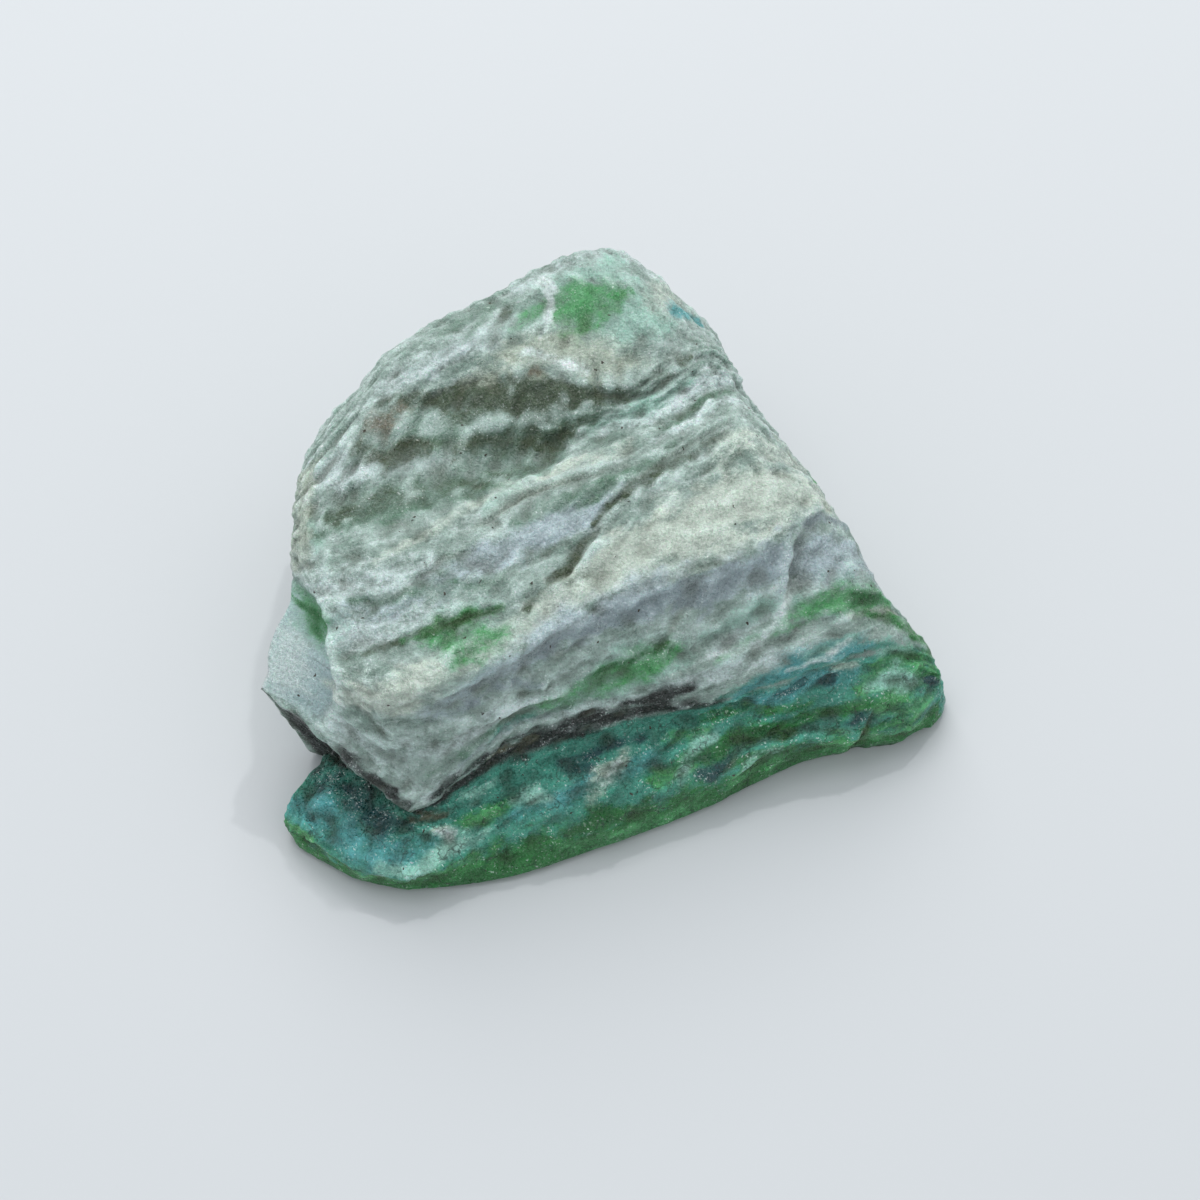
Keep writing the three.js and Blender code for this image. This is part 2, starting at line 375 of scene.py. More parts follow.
# %% Lumps, flakes and grains
bend = rough(skin / 6, 3)  # wanders off the straight band, as folded rock does
rough_here = np.interp(line, np.arange(len(knots)), jaggedness)
on_top = ease_step(reach, reach_of_end[0] - 0.5, reach_of_end[0] + 1)
on_top *= 1 - ease_step(reach, reach_of_end[1] - 1, reach_of_end[1] + 0.5)
rough_here *= 0.4 + 0.6 * on_top


def knobbly(places, octaves):
    """Round knobs with sharp gaps between them: octaves of the size of the noise, sign left out."""
    return sum((np.abs(noise(places * 2**k + 5.3 * k)) - 0.35) / 1.7**k for k in range(octaves))


def lumps():
    """Rough noise and knobs, squeezed across the bands, so that they lie along them."""
    long = rough(stack(reach / 3.2, (band + 1.2 * bend) / 1.7, skin[..., 0] / 4), 4)
    short = knobbly(stack(reach / 1.9, (band + 0.8 * bend) / 1.0, 8.1), 2)
    return 0.8 * long + 0.65 * short


def flakes():
    """Steps that drop towards the front: a saw wave across the bands, bent and patchy."""
    shift = 1.3 * bend + 0.8 * rough(stack(reach / 1.6, band / 1.6, 5.5), 4)
    teeth = (band + shift) / 2.3
    wave = 1 - (teeth - np.floor(teeth))
    patch = ease_step(rough(stack(reach / 4, band / 2.5, 1.7), 2), 0.0, 0.6)
    return (wave - 0.5) * patch


swell = 0.22 * rough(skin / (7, 5, 6) + 4.4, 2)
pebbles = 0.10 * rough(skin / 1.1 + 6.1, 2)
grain = 0.05 * rough(skin / 0.5, 1)
relief = swell + rough_here * (0.8 * lumps() + 0.7 * flakes()) + pebbles + grain
print("relief is", round(np.ptp(relief), 2), "mm from lowest to highest")


# %% [markdown]
# ## Cracks and plate edges
# The deepest marks are followed one by one. Each is a broken line of places, given by x and by the
# break line it lies on. Its sign tells how the stone steps there: the side behind the line stands
# higher, or lower, and the height fades away again over a millimetre or two.

# %% Distance to a path on the skin
def beside(path):
    """How far each point lies from a path on the skin, on which side, and the path's own values.

    A path is a list of (x, line, value, ...). For each of its straight pieces the nearest place
    is found by projection, and the nearest piece wins. The side is positive behind the path.
    """
    path = np.array(path, float)
    path_band = np.interp(path[:, 1], np.arange(len(knots)), band_of_line)
    nearest = np.full(band.shape, np.inf)
    side = np.zeros(band.shape)
    values = np.zeros((*band.shape, path.shape[1] - 2))
    for k in range(len(path) - 1):
        run, rise = path[k + 1, 0] - path[k, 0], path_band[k + 1] - path_band[k]
        dx, dy = warped_x - path[k, 0], warped_band - path_band[k]
        share = np.clip((dx * run + dy * rise) / (run**2 + rise**2), 0, 1)
        distance = np.hypot(dx - share * run, dy - share * rise)
        closer = distance < nearest
        nearest = np.where(closer, distance, nearest)
        side = np.where(closer, np.sign(run * dy - rise * dx), side)
        mix = path[k, 2:] + share[..., None] * (path[k + 1, 2:] - path[k, 2:])
        values = np.where(closer[..., None], mix, values)
    return nearest, side, values


fine_bend = rough(skin / 1.1 + 7.7, 2)
down_right = np.maximum(reach - reach_of_end[1], 0)
down_left = np.maximum(reach_of_end[0] - reach, 0)
warped_x = skin[..., 0] + down_right - down_left + 0.5 * bend + 0.25 * fine_bend
warped_band = band + 0.35 * rough(skin / 3 + 2.2, 2) + 0.16 * fine_bend

# %% The cracks
# Each place has the groove's depth and the step of the side behind it, in millimetres.
CRACKS = [
    [(-15, 9.0, 0.05, 0.1), (-12, 9.25, 0.2, 0.25), (-9, 9.3, 0.1, 0.1)],
    [(-10, 9.7, 0.05, 0.1), (-6, 10.0, 0.3, 0.3), (-2.5, 9.9, 0.25, 0.25), (1.5, 9.8, 0.05, 0.1)],
    [(1, 9.2, 0.05, 0.1), (3, 9.5, 0.2, 0.15), (6.5, 9.7, 0.15, 0.1), (9, 9.8, 0.05, 0)],
    [(-4, 8.0, 0.1, -0.2), (-2.6, 8.1, 0.25, -0.6), (-1.5, 8.35, 0.25, -0.5), (-0.8, 8.7, 0.1, -0.1)],
    [(2.6, 6.2, 0.1, -0.3), (3.6, 6.0, 0.2, -0.5), (4.6, 6.3, 0.2, -0.4), (6, 6.6, 0.1, -0.1)],
    [(13, 5.8, 0.1, 0.2), (13.2, 6.3, 0.3, 0.9), (13.6, 6.7, 0.2, 0.7), (14.5, 7, 0.1, 0.2)],
    [(-14, 8.25, 0.1, 0.1), (-10.5, 8.1, 0.3, 0.3), (-7, 8.0, 0.1, 0.1)],
    [(-20, 11.6, 0.1, 0.2), (-14, 11.5, 0.25, 0.4), (-9, 11.3, 0.1, 0.3), (-4, 11.2, 0.1, 0.3)],
    [(-16, 6.6, 0.05, 0.1), (-9, 6.6, 0.15, 0.2), (0, 7.2, 0.1, 0.2), (8, 7.1, 0.15, 0.2)],
    [(-11, 5.5, 0.1, 0.2), (-6, 5.35, 0.2, 0.4), (-3, 5.2, 0.1, 0.1)],
    [(8.5, 1.2, 0.3, -0.2), (10, 1.7, 0.2, -0.5), (13, 1.6, 0.2, -0.5), (17, 1.3, 0.2, -0.3)],
    [(17.6, 0.2, 0.6, 0.4), (18, 1.0, 0.5, 0.4), (18.8, 1.8, 0.2, 0.2)],
]
CRACK_WIDTH = 0.17
# Cracks are painted dark: partly a stain, partly painted shade in the groove.
CRACK_STAIN_AND_SHADE_WIDTH = 0.24  # the dark stain in a crack is a little wider than its groove
STEP_FADE = 1.6

groove = np.zeros(band.shape)
for path in CRACKS:
    distance, side, values = beside(path)
    relief -= values[..., 0] * np.exp(-((distance / CRACK_WIDTH) ** 2))
    behind = side * ease_step(distance, 0, 0.35) * np.exp(-((distance / STEP_FADE) ** 2))
    relief += values[..., 1] * behind / 2
    stain = 2 * values[..., 0] * np.exp(-((distance / CRACK_STAIN_AND_SHADE_WIDTH) ** 2))
    groove = np.maximum(groove, stain)
print(len(CRACKS), "cracks and plate edges")

# %% The chipped corner and the finished skin
# At the left end a thumb-wide chip has burst off and left a smooth shell-shaped hollow.
CHIP_DEPTH = 1.0
RIDGE_NICKS = 0.35  # the broken ridge beside it is nicked this deep


def normals_of(grid):
    """Unit normals of a grid: the cross product of its two directions."""
    across, along = np.gradient(grid, axis=(0, 1))
    normal = np.cross(along, across)
    return normal / np.linalg.norm(normal, axis=-1, keepdims=True)


from_rim = (reach - reach_of_end[0]) / along_lengths[0]  # 0 at the outer rim, 1 at the ridge
chip_span = ease_step(line, 4.0, 4.6) * (1 - ease_step(line, 8.6, 9.6))
in_chip = chip_span * ease_step(from_rim, -0.3, 0) * (1 - ease_step(from_rim, 0.8, 1.1))
below_ridge = ease_step(1 - from_rim, -0.05, 0.15) * np.clip(from_rim, 0, 1) ** 0.7
bowl = CHIP_DEPTH * below_ridge * chip_span
nicks = RIDGE_NICKS * noise(stack(band / 1.3, 2.7, 9.9)) * np.exp(-(((from_rim - 1) / 0.25) ** 2))
relief = relief * (1 - 0.85 * in_chip) - bowl + nicks
relief *= ease_step(skin[..., 2], 0.1, 1.2)


def blurred(values, steps):
    """The mean over a square of the grid, by running sums along both of its directions."""
    for axis in (0, 1):
        edges = [(steps + 1, steps) if k == axis else (0, 0) for k in (0, 1)]
        sums = np.cumsum(np.pad(values, edges, mode="edge"), axis=axis)
        upper = np.take(sums, np.arange(2 * steps + 1, sums.shape[axis]), axis=axis)
        lower = np.take(sums, np.arange(sums.shape[axis] - 2 * steps - 1), axis=axis)
        values = (upper - lower) / (2 * steps + 1)
    return values


# 1 where the stone is hollow against its surroundings and -1 where it stands out.
hollows = np.clip((blurred(relief, 6) - blurred(relief, 1)) / 0.2, -1, 1)
stone = skin + normals_of(skin) * relief[..., None]
stone[..., 2] = np.maximum(stone[..., 2], 0.3)
print("stone reaches", np.round(stone.reshape(-1, 3).min(axis=0), 2), "to",
      np.round(stone.reshape(-1, 3).max(axis=0), 2), "mm")

# %% [markdown]
# ## One closed mesh
# The skin ends in a foot outline. Rings shrink from it to a middle point, and make the flat sole.

# %% The sole and the mesh
SOLE_MIDDLE = np.array([-0.5, -1.5])
SOLE_RINGS = (0.97, 0.85, 0.68, 0.5, 0.32, 0.15)

index = np.arange(rows * columns).reshape(rows, columns)
outline = np.concatenate([index[0, :-1], index[:-1, -1], index[-1, :0:-1], index[:0:-1, 0]])
points = stone.reshape(-1, 3)
foot = points[outline]


def ring(share):
    """The foot outline shrunk towards the sole's middle, on the table."""
    flat = SOLE_MIDDLE + share * (foot[:, :2] - SOLE_MIDDLE)
    return np.column_stack([flat, np.zeros(len(flat))])


def quads(near, far):
    """Faces between two rows of point numbers."""
    corners = [near[..., :-1], near[..., 1:], far[..., 1:], far[..., :-1]]
    return np.stack(corners, axis=-1).reshape(-1, 4)


sole = np.concatenate([ring(share) for share in SOLE_RINGS])
ring_index = len(points) + np.arange(len(sole)).reshape(len(SOLE_RINGS), -1)
middle = len(points) + len(sole)
loops = np.concatenate([outline[None], ring_index])
loops = np.concatenate([loops, loops[:, :1]], axis=1)
fan = np.stack([loops[-1, 1:], loops[-1, :-1], np.full(len(outline), middle)], axis=-1)
all_points = np.concatenate([points, sole, [[*SOLE_MIDDLE, 0]]])
faces = quads(index[:-1], index[1:]).tolist() + quads(loops[1:], loops[:-1]).tolist()
faces += fan.tolist()

mesh = bpy.data.meshes.new("jade_stone")
mesh.from_pydata((all_points * MM).tolist(), [], faces)
mesh.shade_smooth()
jade_stone = bpy.data.objects.new("jade_stone", mesh)
bpy.context.collection.objects.link(jade_stone)
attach(jade_stone, "root")
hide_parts("raw_jade")
print(len(all_points), "points,", 2 * len(faces) - len(fan), "triangles")

# %% [markdown]
# ## Where the minerals lie
# Jade is white when pure. Traces of iron and chromium turn it sage, emerald or nearly black, and
# they lie in veins and clouds along the bands. Each mineral is painted as a share from 0 to 1 on
# every point of the skin. A vein is a path again, now with its half width in millimetres and its
# strength. The edges are bent by noise here, and the material frays them further.

# %% Veins by mineral
# Some paths below paint shade, glints or glow in place of a mineral; each is marked.
# Each place is x in millimetres, break line, half width in millimetres, strength.
VEINS = {
    "cream": [
        [(-19, 6.2, 1.0, 0.7), (-17, 6.7, 2.0, 1), (-13, 7.1, 1.8, 1), (-10, 7.3, 1.1, 0.8),
         (-4, 7.6, 1.3, 0.8), (0, 7.8, 2.0, 1), (6.5, 7.9, 2.8, 1), (11, 7.9, 2.6, 1),
         (15, 7.8, 2.0, 0.9)],
        [(8, 9.2, 1.0, 0.5), (13, 9.0, 1.6, 0.8)],
        [(-16, 9.7, 0.4, 0.5), (-9, 10.3, 0.6, 0.6), (-4, 10.3, 0.8, 0.7), (1, 10.3, 0.6, 0.5)],
        [(0, 12.4, 0.8, 0.5), (4, 13.3, 1.2, 0.7), (5, 13.8, 1.0, 0.6)],
    ],
    "white": [
        [(-16, 12.6, 1.0, 0.6), (-12, 12.8, 1.6, 0.9), (-9, 12.9, 1.2, 0.8), (-6, 13, 0.6, 0.4)],
        [(-6, 13.8, 1.0, 0.4), (-1, 13.95, 1.4, 0.6), (3, 13.9, 1.0, 0.5)],
        [(-21, 12.0, 1.0, 0.8), (-18, 11.5, 1.0, 0.8), (-14, 11.3, 0.6, 0.7), (-11, 11.3, 0.4, 0.4)],
        [(-12, 12.0, 0.4, 0.7), (-9.5, 12.1, 0.6, 0.6)],
        [(-20, 9.5, 1.2, 0.7), (-16, 9.3, 1.2, 0.6), (-12, 9.4, 0.8, 0.4)],
        [(-19, 8.4, 0.9, 0.9), (-15, 8.3, 0.9, 0.7), (-12, 8.5, 0.4, 0.4)],
        [(-7.5, 7.1, 0.5, 0.6), (-3, 7.4, 0.9, 0.9), (1, 7.5, 0.6, 0.6)],
        [(0, 10.9, 0.5, 0.5), (4.5, 11.1, 0.9, 0.9), (8, 11.2, 1.0, 0.9)],
        [(3, 10.2, 0.4, 0.6), (7, 10.4, 0.7, 0.8), (9, 10.4, 0.6, 0.6)],
        [(-4, 4.6, 0.4, 0.4), (0, 4.6, 0.6, 0.6), (6.5, 4.7, 0.8, 0.7), (10, 4.6, 0.8, 0.6),
         (13, 4.4, 0.4, 0.5)],
        [(-19, 4.8, 0.9, 0.6), (-13.5, 5.1, 0.9, 0.7), (-10, 5.3, 0.8, 0.8), (-6, 5.3, 0.5, 0.6)],
        [(-13, 4.2, 0.5, 0.7), (-10, 4.4, 0.5, 0.6)],
        [(-9, 5.7, 0.4, 0.5), (-6.5, 5.7, 0.7, 0.9), (-4.5, 5.6, 0.3, 0.4)],
        [(-25, 4.4, 1.6, 1), (-23, 5.4, 2.0, 1), (-22, 7.0, 1.6, 0.9)],
        [(12.6, 6.0, 0.7, 0.9), (14, 6.2, 0.9, 1), (18, 6.2, 0.8, 0.8)],
        [(8, 5.5, 0.6, 0.7), (10.6, 5.8, 0.7, 0.9), (12, 5.7, 0.5, 0.7)],
    ],
    "lavender": [
        [(-20, 15.6, 0.8, 0.6), (-8, 15.5, 1.6, 0.8), (4, 15.6, 1.0, 0.6)],
        [(-19, 8.8, 0.7, 0.5), (-13, 8.9, 1.0, 0.5), (-8, 9.0, 1.2, 0.9), (-4, 9.2, 1.4, 1),
         (-1, 9.1, 1.1, 0.9), (1, 9.3, 0.5, 0.4)],
        [(-13, 6.3, 0.5, 0.6), (-8, 6.7, 1.0, 0.9), (-3, 7.0, 1.3, 1), (3, 6.9, 1.5, 1),
         (7, 6.8, 1.4, 1), (11, 6.7, 1.3, 1), (15, 6.5, 1.4, 1), (19, 6.3, 1.1, 0.8)],
    ],
    "slate": [
        [(-13, 6.2, 0.4, 0.5), (-10, 6.2, 0.6, 0.7), (-8, 6.4, 0.6, 0.8), (-4.5, 6.2, 0.5, 0.6)],
        [(-5, 6.8, 0.5, 0.6), (-1, 6.8, 0.6, 0.8), (2.5, 6.8, 0.7, 0.8), (6.5, 6.6, 0.8, 1),
         (9.5, 6.7, 0.6, 0.8)],
        [(11, 7.0, 0.4, 0.6), (12.6, 6.7, 0.8, 0.9), (12.6, 6.1, 0.7, 0.8), (12.3, 5.8, 0.4, 0.5)],
        [(13.5, 7.1, 0.3, 0.6), (17, 7.0, 0.5, 0.8)],
        [(-10, 4.6, 0.4, 0.4), (-5, 4.7, 0.4, 0.5), (1, 4.9, 0.3, 0.4)],
    ],
    "fern": [
        [(-19, 14.8, 0.8, 0.6), (-9, 15.0, 1.4, 0.8), (0, 14.9, 0.8, 0.6), (8, 15.1, 0.6, 0.5)],
        [(-14, 11.6, 0.8, 0.6), (-9, 11.4, 1.2, 0.8), (-4, 11.3, 1.4, 0.9), (0, 11.4, 1.0, 0.7)],
        [(-20, 10.9, 1.0, 0.9), (-14, 10.8, 1.4, 0.9), (-9, 10.7, 1.3, 0.8), (-4, 10.8, 0.8, 0.6)],
        [(4, 10.5, 0.4, 0.6), (7, 10.7, 0.6, 0.8), (9, 10.8, 0.4, 0.6)],
        [(-6, 9.6, 0.5, 0.6), (-1, 9.5, 0.7, 0.8), (2, 9.6, 0.7, 0.7), (4.5, 9.8, 0.5, 0.5)],
        [(-18, 9.0, 0.4, 0.5), (-14, 9.0, 0.5, 0.7), (-10, 8.7, 0.5, 0.6), (-7, 8.5, 0.5, 0.5)],
        [(-18, 8.0, 0.3, 0.4), (-14, 8.1, 0.4, 0.6)],
        [(-17, 5.0, 0.4, 0.3), (-12, 4.9, 0.5, 0.5), (-5, 4.9, 0.5, 0.6), (0, 4.9, 0.4, 0.5)],
        [(-10, 13.0, 0.4, 0.5), (-8, 13.6, 0.6, 0.6), (-12, 13.5, 0.6, 0.6)],
    ],
    "olive": [
        [(-16, 12.2, 0.5, 0.7), (-11.5, 11.9, 0.9, 1), (-8.5, 11.8, 1.2, 1), (-5, 11.6, 1.5, 1),
         (-1.5, 11.7, 1.4, 1), (2, 11.8, 1.0, 0.8), (5.5, 12, 0.6, 0.5)],
        [(-11, 11.3, 0.4, 0.7), (-9, 11.3, 0.6, 0.9), (-7, 11.3, 0.5, 0.8)],
        [(-6.5, 11.2, 0.8, 0.5), (-3.5, 11.1, 1.2, 0.6), (-0.5, 11.3, 0.7, 0.4)],
        [(-17.5, 11.8, 0.5, 0.8), (-15.5, 11.5, 0.7, 0.9), (-13, 11.4, 0.4, 0.5)],
        [(-21, 11.0, 0.5, 0.5), (-18, 11.0, 0.7, 0.6), (-14.5, 10.9, 0.8, 0.5),
         (-10.5, 10.8, 0.8, 0.4), (-7, 10.7, 0.6, 0.4), (-3.5, 10.9, 0.5, 0.4)],
        [(-8, 12.8, 0.5, 0.5), (-7, 13.4, 0.6, 0.5)],
        [(-1, 8.9, 0.5, 0.7), (2, 9.2, 0.6, 0.8), (7, 9.5, 0.4, 0.6)],
        [(-17, 8.0, 0.3, 0.6), (-13, 8.2, 0.4, 0.7), (-10, 8.2, 0.3, 0.5)],
        [(-4, 8.1, 0.3, 0.6), (-2.5, 8.3, 0.6, 0.9), (-1.6, 8.6, 0.5, 0.6)],
        [(-6, 7.7, 0.4, 0.7), (-4, 7.9, 0.4, 0.7), (-1, 7.9, 0.3, 0.4)],
        # Painted shade on the underside of the lip at the left.
        [(-36, 3.5, 1.6, 1), (-25, 3.6, 1.2, 0.9), (-20, 3.6, 0.9, 0.9), (-14, 3.7, 0.7, 0.8)],
    ],
    "tan": [
        [(-10, 12.2, 0.6, 0.5), (-6, 12.3, 1.2, 0.9), (-3, 12.4, 1.3, 1), (0, 12.3, 0.8, 0.8),
         (3, 12.2, 0.5, 0.4)],
        [(-22.5, 9.8, 0.7, 0.7), (-22.2, 11, 1.0, 0.9), (-21.8, 12.5, 1.0, 0.8)],
        [(15.5, 7.4, 0.7, 0.7), (15, 8.5, 0.8, 0.8), (13.5, 9.6, 0.8, 0.7), (12, 10.4, 0.6, 0.5)],
        [(17, 5.0, 0.4, 0.6), (20.5, 4.8, 0.6, 0.9)],
        [(-1.8, 2.5, 0.9, 0.8), (0.5, 2.1, 1.4, 0.9), (2.4, 2.3, 0.7, 0.7)],
    ],
    "rust": [
        [(-16.8, 12.0, 0.6, 0.9), (-15, 11.9, 0.7, 0.8), (-14, 11.8, 0.3, 0.5)],
        [(-5.4, 11.95, 0.15, 1), (-5, 11.95, 0.2, 1)],
    ],
    "mint": [
        [(-16, 15.3, 1.2, 0.6), (-6, 15.2, 1.6, 0.8), (5, 15.4, 1.4, 0.7)],
        [(-4.5, 13.5, 1.0, 0.7), (0, 13.6, 1.2, 0.8), (3, 13.3, 0.6, 0.4)],
        [(-1, 12.8, 0.9, 0.8), (2, 12.9, 1.5, 1), (4.5, 12.9, 0.8, 0.6)],
        [(-1, 11.1, 0.7, 0.7), (3, 11.3, 1.0, 0.8), (6, 11.5, 0.6, 0.6)],
        [(-21.5, 11.3, 0.6, 0.8), (-20.5, 10.6, 0.6, 0.7)],
        [(-8, 5.0, 0.5, 0.7), (-3, 5.1, 0.8, 0.9), (3, 5.2, 0.7, 0.9), (6, 5.3, 0.6, 0.7)],
        [(7, 6.0, 0.6, 0.7), (10, 6.0, 0.8, 0.9), (14, 5.9, 0.6, 0.7)],
        [(-4, 10.5, 0.5, 0.4), (-8, 10.1, 0.6, 0.5)],
    ],
    "teal": [
        [(-24, 1.9, 3.0, 1), (-18, 2.0, 3.0, 1), (-13, 2.0, 2.4, 1), (-6, 2.2, 2.3, 1),
         (0, 2.2, 2.3, 1), (6, 2.5, 2.3, 0.9), (12, 3.0, 2.3, 1), (18, 3.0, 2.4, 1),
         (24, 2.6, 2.2, 0.9)],
        [(8, 3.7, 0.7, 0.7), (12, 3.8, 1.2, 1), (16, 3.9, 1.4, 1), (20, 3.7, 1.0, 0.8)],
        [(-5, 4.8, 0.4, 0.6), (-8, 4.7, 0.4, 0.5)],
    ],
    "lagoon": [
        [(4.8, 13.2, 0.5, 1), (5.8, 13.3, 0.7, 1), (6.8, 13.4, 0.5, 0.9)],
        [(9, 3.5, 0.7, 0.7), (13, 4.1, 1.2, 1), (16, 4.1, 1.2, 1), (18, 3.9, 0.8, 0.7)],
        [(11, 3.0, 1.2, 0.9), (14, 3.2, 1.3, 0.9), (17, 2.8, 0.8, 0.7)],
        [(-23, 1.8, 1.2, 0.7), (-20, 1.9, 1.2, 0.8), (-15, 1.5, 0.9, 0.8), (-12, 1.9, 0.7, 0.6)],
        [(-6, 1.9, 0.7, 0.6), (-3, 2.0, 0.8, 0.7), (3, 2.2, 0.8, 0.7)],
    ],
    "moss": [
        [(-30, 0.2, 1.6, 1), (-13, 0.2, 1.9, 1), (0, 0.3, 2.3, 1), (12, 0.2, 2.4, 1),
         (32, 0.3, 1.8, 1)],
        [(-10.5, 2.3, 0.5, 0.6), (-8.5, 2.1, 0.9, 0.9), (-6.6, 2.3, 0.6, 0.6)],
        [(3, 1.6, 0.6, 0.7), (6, 1.9, 0.9, 0.9), (9.5, 2.1, 1.1, 1), (13, 2.1, 0.8, 0.9),
         (16, 2.1, 0.8, 0.9), (19, 2.1, 1.2, 0.9), (23, 2.6, 1.8, 0.9)],
        [(7, 2.9, 0.5, 0.6), (10, 2.8, 0.5, 0.7), (14, 2.4, 0.6, 0.9)],
        [(-19.5, 3.0, 0.8, 0.6), (-17, 3.0, 0.8, 0.7)],
        [(18, 4.9, 0.5, 0.8), (21, 4.4, 0.7, 0.9), (23.5, 3.7, 0.8, 0.9)],
    ],
    "emerald": [
        [(-6.5, 12.9, 0.5, 0.5), (-4.5, 13.2, 0.8, 0.8), (-1.8, 13.05, 1.7, 1), (1, 13.2, 0.7, 0.7)],
        [(-21.5, 9.0, 0.8, 0.7), (-21, 8.5, 1.3, 1), (-20.8, 7.8, 0.8, 0.8)],
        [(-13.5, 8.15, 0.4, 0.6), (-11, 7.9, 0.9, 0.9), (-9.3, 7.6, 1.6, 0.7), (-7.8, 7.4, 1.0, 0.5)],
        [(-14, 8.2, 0.3, 0.7), (-10.5, 8.1, 0.4, 0.9), (-7, 8.0, 0.2, 0.6)],
        [(-4.5, 5.2, 0.4, 0.5), (-1, 5.4, 0.9, 0.8), (2.5, 5.6, 1.2, 1), (5, 5.8, 0.6, 0.8)],
        [(12.5, 5.4, 0.5, 0.5), (15.7, 5.6, 0.9, 0.8), (18.5, 5.5, 1.2, 1), (20, 5.2, 0.7, 0.8)],
        [(8, 5.1, 0.3, 0.3), (12, 5.2, 0.5, 0.5), (15, 5.3, 0.4, 0.4)],
        [(18, 2.5, 0.9, 0.7), (20.5, 2.9, 2.0, 0.9), (22.6, 3.1, 1.4, 0.9)],
        [(19.5, 1.9, 0.9, 0.8), (22.5, 1.6, 0.9, 0.8)],
        [(5, 2.6, 0.6, 0.6), (7, 2.5, 0.6, 0.6)],
        # Bright green along the ledge rim: the jade's own green, raised as painted glow of light through the
        # thin edge.
        [(-24, 0.9, 0.5, 0.9), (-18, 0.8, 0.5, 0.9), (-14, 0.7, 0.4, 0.8), (-9, 0.8, 0.4, 0.6)],
        [(9, 0.7, 0.5, 0.8), (11.2, 0.9, 1.0, 1), (13, 0.9, 0.6, 0.8)],
        [(15, 0.5, 0.6, 0.7), (18.2, 0.7, 0.9, 1), (22, 0.7, 0.8, 0.8)],
        [(-3, 0.4, 0.5, 0.6), (2, 0.2, 0.6, 0.9), (6, 0.3, 0.5, 0.6)],
        [(15.2, 9.3, 0.8, 0.9), (17, 8.7, 1.3, 1), (20, 8.2, 1.6, 1), (22, 8.4, 1.0, 0.7)],
        [(-9.6, 2.2, 0.5, 0.6), (-8, 2.1, 0.7, 0.8)],
        [(3.5, 1.5, 0.6, 0.6), (6, 1.6, 0.5, 0.5)],
    ],
    "pine": [
        [(-21.2, 8.4, 0.8, 0.8), (-20.8, 7.9, 0.5, 0.6)],
        [(-13, 8.1, 0.2, 0.7), (-10.5, 8.05, 0.3, 0.9), (-7.5, 8.0, 0.2, 0.6)],
        [(-1, 5.6, 0.3, 0.6), (2, 5.85, 0.35, 0.8), (4.5, 6.0, 0.3, 0.7)],
        [(17.4, 5.6, 0.5, 0.8), (18.7, 5.5, 0.7, 1), (19.6, 5.3, 0.4, 0.8)],
        [(-3.5, 0.9, 0.6, 0.8), (-0.5, 0.9, 0.8, 1), (2.5, 1.0, 0.6, 0.8)],
        [(13.3, 0.5, 0.5, 0.8), (14.5, 0.9, 0.5, 0.8), (9, 1.3, 0.4, 0.8)],
        [(8, 2.0, 0.5, 0.7), (10.5, 1.9, 0.5, 0.8), (13, 1.7, 0.5, 0.7)],
    ],
    "seafoam": [
        [(-16, 1.2, 0.5, 0.6), (-13.5, 1.15, 0.6, 0.9), (-11, 1.5, 0.9, 1), (-8.5, 1.6, 0.5, 0.6)],
        [(-12.4, 2.1, 0.6, 0.8), (-11, 1.9, 0.6, 0.8)],
        [(-9.8, 2.9, 0.6, 0.6), (-8.2, 2.8, 0.6, 0.6)],
        [(-6.6, 2.3, 0.5, 0.7), (-5.4, 2.2, 0.7, 1), (-4, 2.0, 0.4, 0.6)],
        [(5, 1.3, 0.4, 0.5), (6.5, 2.3, 0.7, 0.6), (7.6, 2.4, 0.5, 0.6)],
        [(19, 3.5, 0.6, 0.6), (22, 3.3, 0.6, 0.6)],
        [(18.8, 2.5, 0.6, 0.7), (20.6, 2.6, 1.2, 0.9), (21.8, 2.4, 0.8, 0.7)],
        [(10, 0.9, 0.4, 0.4), (11.2, 1.1, 0.7, 0.5), (12.2, 1.1, 0.4, 0.4)],
        [(-23.5, 3.4, 0.5, 0.5), (-22, 3.2, 0.5, 0.5)],
        [(14, 4.3, 0.5, 0.6), (17, 4.3, 0.5, 0.7)],
        [(16.2, 3.2, 0.7, 0.7), (17, 3.2, 0.7, 0.7)],
    ],
    "indigo": [
        [(-20.5, 2.5, 0.7, 0.6), (-18, 2.4, 0.9, 0.8), (-15.8, 2.2, 0.8, 1), (-14, 2.3, 0.5, 0.8)],
        [(-1.2, 2.6, 0.7, 0.9), (-3.4, 2.8, 0.6, 0.7), (2.5, 2.8, 0.5, 0.7)],
        [(3.4, 2.0, 0.3, 0.6), (4.6, 1.9, 0.4, 0.6)],
        [(6.4, 1.3, 0.5, 0.9), (7.4, 1.2, 0.8, 1), (8.6, 1.4, 0.6, 0.9)],
        [(12, 3.1, 0.5, 0.8), (13.2, 3.1, 0.6, 0.8)],
        [(14.8, 2.8, 0.5, 0.9), (15.6, 2.8, 0.4, 0.8)],
        [(17.5, 1.6, 0.5, 1), (18.4, 1.7, 0.4, 0.8)],
        [(22.8, 2.5, 0.5, 0.9), (23.4, 2.3, 0.7, 1)],
    ],
    # Black mineral along the seam under the lip, darkened further as painted shade of the lip's overhang.
    "soot_and_shade": [
        [(-15, 3.0, 1.0, 0.9), (-12, 3.4, 1.0, 1), (-8.5, 3.7, 1.2, 1), (-5, 3.7, 1.4, 1),
         (-2, 3.7, 1.5, 1), (0.2, 3.9, 1.1, 0.9), (2.5, 3.9, 1.4, 1), (5, 3.8, 1.4, 1),
